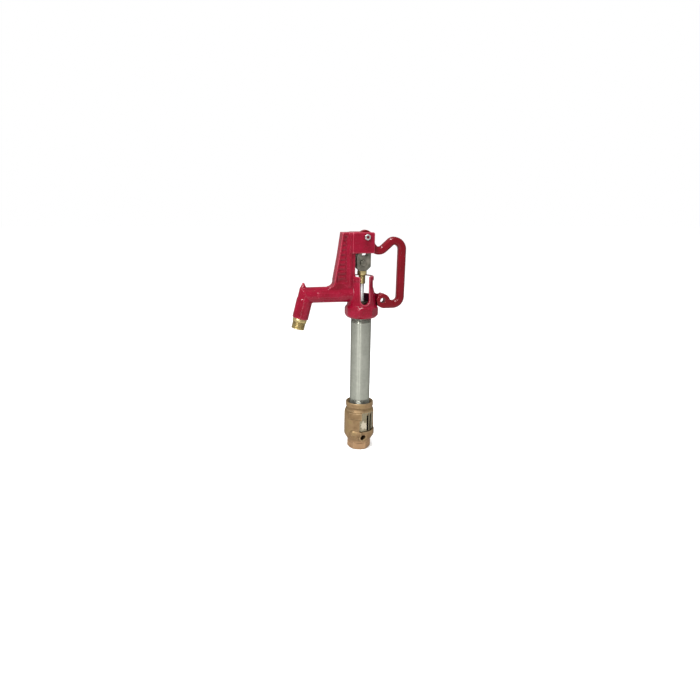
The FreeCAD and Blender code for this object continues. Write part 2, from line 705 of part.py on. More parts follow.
def valve_body():
    body = fused([wrench_hexagon(), valve_shell(), barrel_pad()] + drain_bosses())
    return less(body, [
        upright(INLET_R, -1, INLET_LENGTH),
        upright(12.0, 0, SEAT_BASE + 1),
        upright(SEAT_R, SEAT_BASE, SEAT_TOP),
        upright(LINER_R, SEAT_TOP, CHAMBER_BASE),
        upright(CHAMBER_R, CHAMBER_BASE, BIG),
        valve_window(),
        drain_hole(DRAIN_HOLE_R, 17.0, 60.0),
    ]).removeSplitter()


def pipe_coupling():
    """Bronze coupling on top of the barrel; the pipe screws down into its countersink."""
    spigot_r = CHAMBER_R - SCREEN_WALL
    sink_r, sink_depth = 27.3, 4.0
    blank = turned([(0, COUPLING_BASE), (spigot_r, COUPLING_BASE), (spigot_r, BARREL_TOP),
                    (BARREL_TOP_R, BARREL_TOP), (COUPLING_GROOVE_R, 91), (COUPLING_GROOVE_R, 94),
                    (COUPLING_R, COUPLING_RIM_BASE), (COUPLING_R, COUPLING_TOP - 1.2),
                    (COUPLING_R - 1.2, COUPLING_TOP), (0, COUPLING_TOP)])
    sink = Part.makeCone(PIPE_R, sink_r, sink_depth, V(0, 0, COUPLING_TOP - sink_depth))
    return less(blank, [sink, upright(PIPE_R, PIPE_BASE, BIG), upright(LINER_R, 0, BIG)])


def drain_screen():
    """Stainless sleeve behind the barrel's window."""
    return tube(CHAMBER_R, CHAMBER_R - SCREEN_WALL, CHAMBER_BASE, BARREL_TOP)


def valve_liner():
    """Brass sleeve that the plunger slides in, with the drain port through its wall."""
    return tube(LINER_R, LINER_BORE_R, SEAT_TOP, LINER_TOP).cut(drain_hole(2.0, 17.0, 60.0))


def drain_bushing():
    """Thin bush in the drain port."""
    depth, inset = 8.5, 4.0
    outer = drain_hole(DRAIN_HOLE_R, depth, depth - inset)
    return outer.cut(drain_hole(DRAIN_HOLE_R - DRAIN_BUSH_WALL, depth + 1, BIG))


def valve_seat():
    """Brass ring with a raised lip under the plunger's seal."""
    return turned([(SEAT_BORE_R, SEAT_BASE), (SEAT_R, SEAT_BASE), (SEAT_R, SEAT_TOP - 2),
                   (12, SEAT_TOP - 2), (11, SEAT_TOP), (SEAT_BORE_R, SEAT_TOP)])


# ---- nozzle ----------------------------------------------------------------
def hose_nozzle():
    """Brass nozzle: spigot in the spout, flange, and the hose thread's blank."""
    spigot = along(NOZZLE_SPIGOT_R, SPOUT_END - SPOUT_AXIS * NOZZLE_SPIGOT, SPOUT_AXIS, NOZZLE_SPIGOT)
    flange = along(NOZZLE_FLANGE_R, SPOUT_END, SPOUT_AXIS, NOZZLE_FLANGE)
    thread = along(HOSE_THREAD_R, SPOUT_END, SPOUT_AXIS, NOZZLE_FLANGE + HOSE_THREAD_LENGTH)
    return fused([spigot, flange, thread]).cut(along(HOSE_BORE_R, ELBOW, SPOUT_AXIS, BIG))


PIECES = [
    head_casting, operating_handle, fulcrum_bushing, link_pin, fulcrum_bolt, fulcrum_nut,
    fulcrum_lock_washer, link_plate_front, link_plate_back, rod_connector, set_screw, rod_bolt,
    rod_bolt_nut, lock_nut, adjusting_sleeve, operating_rod, rod_guide, plunger_body,
    plunger_rings, plunger_seal, plunger_screw, packing_nut, stem_packing, packing_washer,
    casing_pipe, valve_body, pipe_coupling, drain_screen, valve_liner, drain_bushing,
    valve_seat, hose_nozzle,
]


def main():
    os.makedirs(OUT_DIR, exist_ok=True)
    for piece in PIECES:
        shape = piece()
        shape.exportStep(os.path.join(OUT_DIR, piece.__name__ + ".step"))
        box = shape.BoundBox
        print("%-20s valid=%s solids=%d volume=%.0f  X %.1f %.1f  Y %.1f %.1f  Z %.1f %.1f" % (
            piece.__name__, shape.isValid(), len(shape.Solids), shape.Volume,
            box.XMin, box.XMax, box.YMin, box.YMax, box.ZMin, box.ZMax))


main()
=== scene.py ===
"""Looks for the frost-proof yard hydrant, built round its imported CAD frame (metres, +Z up)."""
import json
import math

import bmesh
import bpy
import numpy as np
from mathutils import Matrix, Vector, noise

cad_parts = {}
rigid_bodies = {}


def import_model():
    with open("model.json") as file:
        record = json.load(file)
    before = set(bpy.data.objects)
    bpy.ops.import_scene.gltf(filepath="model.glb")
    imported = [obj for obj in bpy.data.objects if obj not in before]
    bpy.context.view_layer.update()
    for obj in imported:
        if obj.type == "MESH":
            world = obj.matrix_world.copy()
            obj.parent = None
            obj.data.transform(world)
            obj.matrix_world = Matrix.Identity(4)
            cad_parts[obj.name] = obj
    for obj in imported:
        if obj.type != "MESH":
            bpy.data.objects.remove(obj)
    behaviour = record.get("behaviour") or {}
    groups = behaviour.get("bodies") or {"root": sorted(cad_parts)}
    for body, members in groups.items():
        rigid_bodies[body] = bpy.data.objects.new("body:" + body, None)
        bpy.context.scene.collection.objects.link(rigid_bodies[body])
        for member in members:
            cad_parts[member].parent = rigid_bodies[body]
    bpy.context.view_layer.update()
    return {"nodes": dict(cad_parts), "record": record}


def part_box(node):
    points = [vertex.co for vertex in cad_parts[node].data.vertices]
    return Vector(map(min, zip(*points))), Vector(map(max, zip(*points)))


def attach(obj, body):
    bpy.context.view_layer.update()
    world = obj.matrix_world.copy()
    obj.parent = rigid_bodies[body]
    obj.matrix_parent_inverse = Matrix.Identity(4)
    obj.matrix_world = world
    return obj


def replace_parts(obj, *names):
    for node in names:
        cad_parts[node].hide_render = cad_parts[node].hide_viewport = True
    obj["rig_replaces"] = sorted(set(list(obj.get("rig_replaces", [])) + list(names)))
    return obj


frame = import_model()

MM = 0.001
NODES = frame["nodes"]
RECORD = frame["record"]
BODY_OF = {node: body for body, members in RECORD["behaviour"]["bodies"].items() for node in members}
SLOT_OF = {part["node"]: part["material_slot"] for part in RECORD["subparts"]}


# ---- node helpers ----------------------------------------------------------
# A Mix node's colour sockets share their names with others, so they are picked by number.
MIX_FIRST, MIX_SECOND, MIX_RESULT = 6, 7, 2


class Finish:
    """A Principled material whose detail comes from textures in object space."""

    def __init__(self, name, metallic, coat=0.0, specular=0.5, rim=1.0, coat_rough=0.18):
        """Sets what is the same all over; rim is how bright the reflection is at a grazing angle."""
        self.material = bpy.data.materials.new(name)
        self.material.use_nodes = True
        self.tree = self.material.node_tree
        self.shader = self.tree.nodes["Principled BSDF"]
        self.shader.inputs["Metallic"].default_value = metallic
        self.shader.inputs["Coat Weight"].default_value = coat
        self.shader.inputs["Coat Roughness"].default_value = coat_rough
        self.shader.inputs["Specular IOR Level"].default_value = specular
        self.shader.inputs["Specular Tint"].default_value = (rim, rim, rim, 1)
        self.place = self.node("ShaderNodeTexCoord").outputs["Object"]
        self.relief = None

    def node(self, kind, **inputs):
        """New node; an underscore in an input's name stands for a space."""
        made = self.tree.nodes.new(kind)
        for key, value in inputs.items():
            self.join(value, made.inputs[key.replace("_", " ")])
        return made

    def join(self, value, socket):
        """Links another node's output to a socket, or sets the socket to a plain value."""
        if isinstance(value, bpy.types.NodeSocket):
            self.tree.links.new(value, socket)
        else:
            socket.default_value = value

    def stretched(self, x, y, z):
        """The place of each point with every axis scaled."""
        made = self.node("ShaderNodeMapping", Vector=self.place)
        made.inputs["Scale"].default_value = (x, y, z)
        return made.outputs["Vector"]

    def noise(self, scale, detail=3.0, rough=0.55, place=None):
        """Soft noise from 0 to 1, with about `scale` waves to the metre."""
        made = self.node("ShaderNodeTexNoise", Vector=place or self.place, Scale=scale, Detail=detail)
        made.inputs["Roughness"].default_value = rough
        return made.outputs["Fac"]

    def cells(self, scale):
        """Cells that each have a colour of their own."""
        return self.node("ShaderNodeTexVoronoi", Vector=self.place, Scale=scale).outputs["Color"]

    def ranged(self, value, low, high, to_low, to_high):
        """Maps low..high to to_low..to_high, and holds the ends."""
        made = self.node("ShaderNodeMapRange", Value=value)
        ends = {"From Min": low, "From Max": high, "To Min": to_low, "To Max": to_high}
        for key, number in ends.items():
            made.inputs[key].default_value = number
        return made.outputs["Result"]

    def shades(self, value, stops):
        """Colour ramp; a stop is (place from 0 to 1, colour)."""
        made = self.node("ShaderNodeValToRGB", Fac=value)
        band = made.color_ramp
        while len(band.elements) < len(stops):
            band.elements.new(0.5)
        for element, (at, colour) in zip(band.elements, stops):
            element.position = at
            element.color = (*colour, 1)
        return made.outputs["Color"]

    def mixed(self, amount, first, second):
        """First colour where amount is 0, second where it is 1."""
        made = self.node("ShaderNodeMix")
        made.data_type = "RGBA"
        self.join(amount, made.inputs["Factor"])
        self.join(first, made.inputs[MIX_FIRST])
        self.join((*second, 1), made.inputs[MIX_SECOND])
        return made.outputs[MIX_RESULT]

    def layer(self, body, colour, mask, bare, full, most):
        """Lays a colour on body: none where the mask is `bare`, the share `most` where it is `full`."""
        return self.mixed(self.ranged(mask, bare, full, 0.0, most), body, colour)

    def attribute(self, name):
        """Value stored at each point of the mesh."""
        made = self.node("ShaderNodeAttribute")
        made.attribute_name = name
        return made.outputs["Fac"]

    def colour(self, value):
        self.join(value, self.shader.inputs["Base Color"])

    def roughness(self, value):
        self.join(value, self.shader.inputs["Roughness"])

    def bump(self, height, strength, distance):
        """Adds relief on top of any relief set before; distance is in millimetres."""
        made = self.node("ShaderNodeBump", Height=height, Strength=strength, Distance=distance * MM)
        if self.relief:
            self.tree.links.new(self.relief, made.inputs["Normal"])
        self.relief = made.outputs["Normal"]
        self.tree.links.new(self.relief, self.shader.inputs["Normal"])


# ---- materials -------------------------------------------------------------
SCALE_SPOT = (2.6, -28.6, 55.5)     # middle of the crust on the drain screen, in millimetres


def head_paint():
    """Crimson coating over rough sand-cast iron: pale specks of painted sheen, lighter edges that are
    partly rubbed paint and partly painted highlight, painted shade in hollows and within the neck.
    """
    deep, middle, light = (0.090, 0.001, 0.006), (0.118, 0.001, 0.009), (0.142, 0.002, 0.013)
    speckle_sheen, edge_wear_and_highlight, rubbed_paint_and_highlight = (0.34, 0.065, 0.10), (0.19, 0.010, 0.024), (0.32, 0.085, 0.11)
    corner_shade, cavity_shade_colour = (0.052, 0.001, 0.005), (0.030, 0.004, 0.012)
    m = Finish("head_paint", 0.0, coat=0.26, specular=0.0, coat_rough=0.15)
    body = m.shades(m.noise(45, 4), [(0.3, deep), (0.5, middle), (0.72, light)])
    # Pale red specks from fine noise: painted sheen, in place of glints off the glossy pebbled skin.
    body = m.layer(body, speckle_sheen, m.noise(400, 4, 0.65), 0.57, 0.68, 0.20)
    # Lighter and pinker red on convex edges: partly rubbed paint, partly painted highlight where edges
    # catch light.
    body = m.layer(body, edge_wear_and_highlight, m.attribute("edge"), 0.56, 0.80, 0.55)
    body = m.layer(body, rubbed_paint_and_highlight, m.attribute("edge"), 0.64, 0.85, 0.5)
    # Near-black red in concave hollows: painted shade.
    body = m.layer(body, corner_shade, m.attribute("edge"), 0.46, 0.22, 0.7)
    # Near-black colour on the neck cavity's walls: painted shade within the neck.
    m.colour(m.mixed(m.attribute("cavity_shade"), body, cavity_shade_colour))
    m.roughness(m.ranged(m.noise(160, 3), 0.3, 0.7, 0.34, 0.52))
    m.bump(m.noise(1500, 2), 0.4, 0.10)
    m.bump(m.noise(360, 4), 0.75, 0.55)
    return m.material


def lever_paint():
    """Smoother satin red paint, lighter on edges: partly rubbed paint, partly painted highlight."""
    deep, light, edge_wear_and_highlight = (0.072, 0.001, 0.003), (0.098, 0.001, 0.005), (0.18, 0.008, 0.015)
    m = Finish("lever_paint", 0.0, coat=0.24, specular=0.0, coat_rough=0.17)
    body = m.shades(m.noise(38, 4), [(0.3, deep), (0.7, light)])
    # Lighter red on convex edges: partly rubbed paint, partly painted highlight.
    m.colour(m.layer(body, edge_wear_and_highlight, m.attribute("edge"), 0.58, 0.85, 0.4))
    m.roughness(m.ranged(m.noise(120, 3), 0.3, 0.7, 0.28, 0.42))
    m.bump(m.noise(700, 3), 0.35, 0.15)
    m.bump(m.noise(160, 3), 0.35, 0.4)
    return m.material


def galvanised():
    """Dull zinc coat: soft spangle, faint draw lines down the pipe and a few rubbed patches."""
    dark, light, rubbed = (0.172, 0.176, 0.150), (0.194, 0.198, 0.170), (0.237, 0.241, 0.209)
    m = Finish("galvanised", 0.9, rim=0.3)
    m.shader.inputs["Anisotropic"].default_value = 0.9
    m.shader.inputs["Anisotropic Rotation"].default_value = 0.25
    spangle = m.shades(m.cells(210), [(0.1, dark), (0.9, light)])
    m.colour(m.layer(spangle, rubbed, m.noise(26, 5), 0.52, 0.72, 0.5))
    m.roughness(m.ranged(m.noise(90, 4), 0.3, 0.7, 0.30, 0.35))
    m.bump(m.noise(500, 2, place=m.stretched(1, 1, 0.03)), 0.12, 0.05)
    m.bump(m.noise(240, 3), 0.08, 0.05)
    return m.material


def bronze():
    """Sand-cast bronze, tan with browner patches, bright on rubbed edges, coppery at its foot, and
    darkened in its hollows with painted shade.
    """
    brown, tan, olive = (0.108, 0.066, 0.032), (0.160, 0.104, 0.053), (0.157, 0.114, 0.049)
    copper, rubbed, crevice_shade = (0.255, 0.155, 0.085), (0.29, 0.21, 0.12), (0.045, 0.028, 0.011)
    copper_from, copper_full = 26 * MM, 14 * MM
    m = Finish("bronze", 0.8, rim=0.4)
    body = m.shades(m.noise(60, 5), [(0.28, brown), (0.55, tan), (0.75, olive)])
    height = m.node("ShaderNodeSeparateXYZ", Vector=m.place).outputs["Z"]
    body = m.layer(body, copper, height, copper_from, copper_full, 0.75)
    body = m.layer(body, rubbed, m.attribute("edge"), 0.55, 0.76, 0.6)
    # Near-black brown in concave hollows: painted shade.
    m.colour(m.layer(body, crevice_shade, m.attribute("edge"), 0.48, 0.32, 0.85))
    m.roughness(m.ranged(m.noise(140, 4), 0.3, 0.7, 0.36, 0.56))
    m.bump(m.noise(1300, 2), 0.5, 0.10)
    m.bump(m.noise(330, 4), 0.5, 0.30)
    return m.material


def metal(name, dark, light, rough_low, rough_high, grain, depth, metallic):
    """Machined or plated metal; grain is waves of relief to the metre, depth is in millimetres."""
    m = Finish(name, metallic, rim=0.4)
    m.colour(m.shades(m.noise(70, 4), [(0.3, dark), (0.7, light)]))
    m.roughness(m.ranged(m.noise(220, 4), 0.3, 0.7, rough_low, rough_high))
    m.bump(m.noise(grain, 3), 0.3, depth)
    return m.material


def stainless():
    """Drawn sheet, browned by water, with a pale ragged crust of scale on one spot."""
    dark, light, scale = (0.095, 0.080, 0.050), (0.165, 0.145, 0.098), (0.27, 0.24, 0.18)
    ragged_in, ragged_out = -5.5 * MM, 4.5 * MM
    crust_edge, crust_full = 8.4 * MM, 7.2 * MM
    m = Finish("stainless", 0.9, rim=0.4)
    sheet = m.shades(m.noise(70, 4), [(0.3, dark), (0.7, light)])
    away = m.node("ShaderNodeVectorMath")
    away.operation = "DISTANCE"
    m.join(m.place, away.inputs[0])
    away.inputs[1].default_value = [value * MM for value in SCALE_SPOT]
    wave = m.ranged(m.noise(190, 4), 0.3, 0.7, ragged_in, ragged_out)
    reach = m.node("ShaderNodeMath")
    m.join(away.outputs["Value"], reach.inputs[0])
    m.join(wave, reach.inputs[1])
    crust = m.ranged(reach.outputs[0], crust_edge, crust_full, 0.0, 1.0)
    m.colour(m.mixed(crust, sheet, scale))
    m.join(m.ranged(crust, 0.0, 1.0, 0.9, 0.0), m.shader.inputs["Metallic"])
    m.roughness(m.ranged(crust, 0.0, 1.0, 0.26, 0.75))
    m.bump(m.noise(900, 3), 0.4, 0.10)
    return m.material


def dull(name, dark, light, grain, depth, rough):
    """Rubber, packing or plastic; grain and depth are as for metal."""
    m = Finish(name, 0.0)
    m.colour(m.shades(m.noise(120, 4), [(0.3, dark), (0.7, light)]))
    m.roughness(m.ranged(m.noise(200, 3), 0.3, 0.7, rough - 0.1, rough + 0.1))
    m.bump(m.noise(grain, 3), 0.4, depth)
    return m.material


# Each row: darker and lighter colour, lowest and highest roughness, grain, depth, how metallic it is.
METALS = {
    # The oiled_brass row is near-black: painted shade of the neck cavity that the packing nut sits in.
    "oiled_brass": ((0.035, 0.022, 0.018), (0.07, 0.045, 0.03), 0.25, 0.4, 700, 0.05, 0.7),
    "brass": ((0.26, 0.205, 0.090), (0.35, 0.28, 0.135), 0.24, 0.36, 900, 0.05, 0.85),
    "zinc_plate": ((0.058, 0.058, 0.046), (0.155, 0.140, 0.115), 0.30, 0.50, 700, 0.06, 1.0),
    "bright_steel": ((0.50, 0.51, 0.50), (0.60, 0.60, 0.59), 0.24, 0.34, 300, 0.006, 0.5),
    "bolt_steel": ((0.26, 0.265, 0.26), (0.36, 0.36, 0.35), 0.26, 0.40, 800, 0.05, 1.0),
}
# Each row: darker and lighter colour, grain, depth, roughness.
DULL = {
    "rubber": ((0.012, 0.012, 0.012), (0.03, 0.03, 0.03), 1200, 0.05, 0.7),
    "packing": ((0.03, 0.03, 0.03), (0.07, 0.07, 0.068), 900, 0.2, 0.7),
    "guide_plastic": ((0.70, 0.69, 0.63), (0.80, 0.79, 0.74), 500, 0.05, 0.45),
}
MATERIALS = {
    "head_paint": head_paint(),
    "lever_paint": lever_paint(),
    "galvanised": galvanised(),
    "bronze": bronze(),
    "stainless": stainless(),
}
MATERIALS.update({slot: metal(slot, *row) for slot, row in METALS.items()})
MATERIALS.update({slot: dull(slot, *row) for slot, row in DULL.items()})


# ---- mesh helpers ----------------------------------------------------------
WELD = 1e-6                         # points closer than this, in metres, are one point
EDGE_ROUNDS, EDGE_GAIN = 4, 2.2     # how far edge marks spread, and how strong they are
FLAT = math.radians(1.0)            # CAD facets that meet at less than this are one flat face
BEVEL_FROM = math.radians(35)       # machined edges sharper than this are broken


def new_object(name, data):
    """Object in the scene from a mesh, camera or light."""
    made = bpy.data.objects.new(name, data)
    bpy.context.scene.collection.objects.link(made)
    return made


def apply_modifiers(obj):
    """Turns the modified shape into the object's own mesh."""
    bpy.context.view_layer.update()
    shaped = obj.evaluated_get(bpy.context.evaluated_depsgraph_get())
    mesh = bpy.data.meshes.new_from_object(shaped)
    obj.modifiers.clear()
    obj.data = mesh


def settle(obj, node):
    """Gives a finished piece its material, CAD body and node."""
    obj.data.materials.clear()
    obj.data.materials.append(MATERIALS[SLOT_OF[node]])
    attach(obj, BODY_OF[node])
    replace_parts(obj, node)
    return obj


def smooth_up_to(mesh, degrees):
    """Shades a mesh smooth, except over edges sharper than an angle."""
    for face in mesh.polygons:
        face.use_smooth = True
    mesh.set_sharp_from_angle(angle=math.radians(degrees))


def cad_mesh(node, extras=()):
    """Welded copy of a CAD node's mesh, with other meshes laid in."""
    shape = bmesh.new()
    shape.from_mesh(NODES[node].data)
    bmesh.ops.remove_doubles(shape, verts=shape.verts, dist=WELD)
    for extra in extras:
        shape.from_mesh(extra)
    mesh = bpy.data.meshes.new(node + "_mesh")
    shape.to_mesh(mesh)
    shape.free()
    return mesh


def point_values(mesh, key):
    """An x, y, z value of every point of a mesh, as rows."""
    values = np.empty(len(mesh.vertices) * 3)
    mesh.vertices.foreach_get(key, values)
    return values.reshape(-1, 3)


def mark_edges(mesh):
    """Stores how convex each point is: 0.5 is flat, more on edges, less in corners."""
    count = len(mesh.vertices)
    place, normal = point_values(mesh, "co"), point_values(mesh, "normal")
    ends = np.empty(len(mesh.edges) * 2, int)
    mesh.edges.foreach_get("vertices", ends)
    a, b = ends.reshape(-1, 2).T
    step = place[b] - place[a]
    tiny = 1e-9
    lean = step / (np.linalg.norm(step, axis=1)[:, None] + tiny)
    total, number = np.zeros(count), np.zeros(count)
    np.add.at(total, a, -(lean * normal[a]).sum(1))
    np.add.at(total, b, (lean * normal[b]).sum(1))
    np.add.at(number, a, 1)
    np.add.at(number, b, 1)
    value = total / np.maximum(number, 1)
    for _ in range(EDGE_ROUNDS):
        spread = np.zeros(count)
        np.add.at(spread, a, value[b])
        np.add.at(spread, b, value[a])
        value = 0.5 * value + 0.5 * spread / np.maximum(number, 1)
    layer = mesh.attributes.new("edge", "FLOAT", "POINT")
    layer.data.foreach_set("value", np.clip(0.5 + EDGE_GAIN * value, 0, 1))


def roughen(mesh, depth, size):
    """Pushes each point inwards by a soft noise, like a sand mould's skin; both sizes in millimetres."""
    place, normal = point_values(mesh, "co"), point_values(mesh, "normal")
    wave = np.array([0.5 + 0.5 * noise.noise(point) for point in place / (size * MM)])
    place -= normal * (wave * depth * MM)[:, None]
    mesh.vertices.foreach_set("co", place.ravel())
    mesh.update()


def cast_piece(node, voxel, rounds, depth, size, extras=()):
    """Cast part: CAD shape with every edge softened, a cast skin, and edge marks for its material.

    voxel is the mesh's fineness, rounds how far edges soften, depth and size the skin's relief.
    """
    piece = new_object(node + "_cast", cad_mesh(node, extras))
    remesh = piece.modifiers.new("skin", "REMESH")
    remesh.mode = "VOXEL"
    remesh.voxel_size = voxel * MM
    remesh.use_smooth_shade = True
    soften = piece.modifiers.new("soften", "SMOOTH")
    soften.factor = 0.5
    soften.iterations = rounds
    apply_modifiers(piece)
    mark_edges(piece.data)
    roughen(piece.data, depth, size)
    return settle(piece, node)


def crisp_piece(node, bevel):
    """Machined part: CAD shape with its sharp edges broken by a bevel (millimetres)."""
    piece = new_object(node + "_finished", cad_mesh(node))
    shape = bmesh.new()
    shape.from_mesh(piece.data)
    bmesh.ops.dissolve_limit(shape, angle_limit=FLAT, verts=shape.verts, edges=shape.edges)
    shape.to_mesh(piece.data)
    shape.free()
    cut = piece.modifiers.new("edges", "BEVEL")
    cut.width = bevel * MM
    cut.segments = 2
    cut.limit_method = "ANGLE"
    cut.angle_limit = BEVEL_FROM
    apply_modifiers(piece)
    smooth_up_to(piece.data, 32)
    return settle(piece, node)


def thread_depth(z, angle, pitch):
    """0 on a right-hand thread's crest, 1 in its root."""
    crest, flank = 0.12, 0.70
    turn = (z / pitch - angle / (2 * math.pi)) % 1.0
    ramp = abs(2 * turn - 1)
    return min(1.0, max(0.0, (ramp - crest) / flank))


def finished_mesh(name, shape):
    """Turns a bmesh into a mesh whose normals point outwards."""
    bmesh.ops.recalc_face_normals(shape, faces=shape.faces)
    mesh = bpy.data.meshes.new(name)
    shape.to_mesh(mesh)
    shape.free()
    return mesh


def revolved(name, rows, sides=96):
    """Closed surface of revolution; a row is (radius, z) or (radius, z, pitch, depth) in millimetres."""
    shape = bmesh.new()
    rings = []
    for radius, z, *thread in rows:
        ring = []
        for i in range(sides):
            angle = 2 * math.pi * i / sides
            r = radius
            if thread:
                r -= thread[1] * thread_depth(z, angle, thread[0])
            ring.append(shape.verts.new((r * MM * math.cos(angle), r * MM * math.sin(angle), z * MM)))
        rings.append(ring)
    for low, high in zip(rings, rings[1:] + rings[:1]):
        for i in range(sides):
            j = (i + 1) % sides
            shape.faces.new((low[i], low[j], high[j], high[i]))
    mesh = finished_mesh(name, shape)
    smooth_up_to(mesh, 40)
    return new_object(name, mesh)


def threaded_rows(radius, z0, z1, pitch, depth, fade=1.0):
    """Rows of a thread from z0 to z1 whose depth fades out over `fade` turns at both ends."""
    steps_per_turn = 10
    steps = max(2, round((z1 - z0) / pitch * steps_per_turn))
    rows = []
    for i in range(steps + 1):
        z = z0 + (z1 - z0) * i / steps
        near = min(z - z0, z1 - z) / (pitch * fade)
        rows.append((radius, z, pitch, depth * min(1.0, near)))
    return rows


def swept(points, radius, sides=10):
    """Round bead along a list of points (millimetres), closed at both ends."""
    shape = bmesh.new()
    rings = []
    for i, point in enumerate(points):
        before, after = points[max(0, i - 1)], points[min(len(points) - 1, i + 1)]
        ahead = (after - before).normalized()
        side = ahead.cross(Vector((0, 1, 0))).normalized()
        out = side.cross(ahead)
        ring = []
        for k in range(sides):
            angle = 2 * math.pi * k / sides
            place = point + (side * math.cos(angle) + out * math.sin(angle)) * radius
            ring.append(shape.verts.new(place * MM))
        rings.append(ring)
    for low, high in zip(rings, rings[1:]):
        for k in range(sides):
            j = (k + 1) % sides
            shape.faces.new((low[k], low[j], high[j], high[k]))
    shape.faces.new(rings[0])
    shape.faces.new(rings[-1])
    return finished_mesh("bead", shape)


# ---- head casting ----------------------------------------------------------
# The neck's outside, from its foot up: (z, radius) in millimetres.
NECK_PROFILE = [(308, 30.6), (316, 29.5), (339, 26.4), (350, 23.2), (362, 23.0), (364, 24.6), (372, 24.6)]
WINDOW_R = 10.3                     # half the window's width, and the radius of its round foot
WINDOW_SPRING, WINDOW_TOP = 324.9, 370.5
BEAD_R, BEAD_SUNK = 1.5, 0.1        # the window's lip, and how far its middle is below the surface
CAVITY_R, CAVITY_FLOOR, CAVITY_TOP = 19.5, 313.0, 366


def neck_radius(z):
    """Outer radius of the neck at a height."""
    heights, radii = zip(*NECK_PROFILE)
    return float(np.interp(z, heights, radii))


def window_bead():
    """Raised lip round the neck's U-shaped window."""
    side_points, foot_steps = 22, 20
    outline = [(-WINDOW_R, z) for z in np.linspace(WINDOW_TOP, WINDOW_SPRING, side_points)]
    for i in range(1, foot_steps):
        angle = math.pi + math.pi * i / foot_steps
        outline.append((WINDOW_R * math.cos(angle), WINDOW_SPRING + WINDOW_R * math.sin(angle)))
    outline += [(WINDOW_R, z) for z in np.linspace(WINDOW_SPRING, WINDOW_TOP, side_points)]
    points = []
    for x, z in outline:
        radius = neck_radius(z) - BEAD_SUNK
        points.append(Vector((x, -math.sqrt(radius * radius - x * x), z)))
    return swept(points, BEAD_R)


def add_head():
    """Head casting, with the walls of its neck cavity marked for the painted shade within the neck."""
    beyond_wall, wall_blend = 0.9, 0.8
    below_floor, top_fade = 1.5, 26
    head = cast_piece("head_casting", 1.1, 5, 0.22, 2.2, extras=[window_bead()])
    x, y, z = point_values(head.data, "co").T / MM
    near_axis = np.clip((CAVITY_R + beyond_wall - np.hypot(x, y)) / wall_blend, 0, 1)
    above_floor = np.clip(z - CAVITY_FLOOR + below_floor, 0, 1)
    below_top = np.clip((CAVITY_TOP - z) / top_fade, 0, 1)
    # This mark sets where the head paint turns to painted shade within the neck cavity.
    cavity_shade = head.data.attributes.new("cavity_shade", "FLOAT", "POINT")
    cavity_shade.data.foreach_set("value", near_axis * above_floor * below_top)


# ---- pipe, nozzle and threads ----------------------------------------------
PIPE_PITCH = 2.209                  # 11.5 threads per inch, on the pipe and on the hose nozzle alike
SLEEVE_PITCH = 1.27


def add_pipe():
    """Casing pipe, with the ends of its tapered threads showing past the collar and the rim."""
    low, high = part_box("casing_pipe")
    outer, base, top = high.x / MM, low.z / MM, high.z / MM
    bore, end_cut, thread = 17.55, 0.8, 1.1
    foot_from, foot_to, head_from, head_to = base + 4, base + 24, top - 26, top - 3
    plain_rows = 12
    rows = [(bore, top), (bore, base), (outer - end_cut, base), (outer - end_cut, base + 2)]
    rows += threaded_rows(outer, foot_from, foot_to, PIPE_PITCH, thread)
    rows += [(outer, z) for z in np.linspace(foot_to + 1, head_from - 1, plain_rows)]
    rows += threaded_rows(outer, head_from, head_to, PIPE_PITCH, thread)
    rows += [(outer - end_cut, top)]
    settle(revolved("casing_pipe_threaded", rows), "casing_pipe")


def add_nozzle():
    """Brass hose nozzle with its coarse thread, turned to the spout's lean."""
    outlet = next(m for m in RECORD["mounts"] if m["name"] == "hose_outlet")
    axis = Vector(outlet["axis"])
    thread, length = outlet["dims"]["r_mm"], outlet["dims"]["length_mm"]
    bore, spigot, spigot_length, flange, flange_length = 9.5, 13.1, 12, 14.25, 7.0
    root, end = thread - 1.3, flange_length + length
    rows = [(bore, -spigot_length), (spigot, -spigot_length), (spigot, 0), (flange - 0.5, 0),
            (flange, 0.6), (flange, flange_length - 0.8), (flange - 0.7, flange_length - 0.1),
            (root, flange_length), (root, flange_length + 0.6)]
    rows += threaded_rows(thread, flange_length + 0.8, end - 1.2, PIPE_PITCH, 1.15, 0.5)
    rows += [(thread - 1.1, end - 1.0), (root, end - 0.1), (bore + 0.8, end), (bore, end - 0.8)]
    piece = revolved("hose_nozzle_threaded", rows)
    side = Vector((0, 1, 0))
    turn = Matrix((side.cross(axis), side, axis)).transposed().to_4x4()
    start = Vector(outlet["pos_m"]) - axis * (flange_length + length / 2) * MM
    piece.data.transform(Matrix.Translation(start) @ turn)
    settle(piece, "hose_nozzle")


def add_adjusting_sleeve():
    """Brass sleeve on the rod, threaded up to the lock nut."""
    low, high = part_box("adjusting_sleeve")
    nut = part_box("lock_nut")[0].z / MM
    outer, bore, base, top = high.x / MM, 4.75, low.z / MM, high.z / MM
    rows = [(bore, top), (bore, base), (outer - 0.6, base), (outer, base + 0.8)]
    rows += threaded_rows(outer, base + 1, nut - 0.5, SLEEVE_PITCH, 0.55, 0.5)
    rows += [(outer, nut), (outer, top)]
    settle(revolved("adjusting_sleeve_threaded", rows, 64), "adjusting_sleeve")


def cut_away(piece, cutter):
    """Takes a bmesh away from a piece."""
    mesh = bpy.data.meshes.new("cutter")
    cutter.to_mesh(mesh)
    cutter.free()
    tool = new_object("cutter", mesh)
    cut = piece.modifiers.new("cut", "BOOLEAN")
    cut.operation = "DIFFERENCE"
    cut.solver = "EXACT"
    cut.object = tool
    apply_modifiers(piece)
    bpy.data.objects.remove(tool)


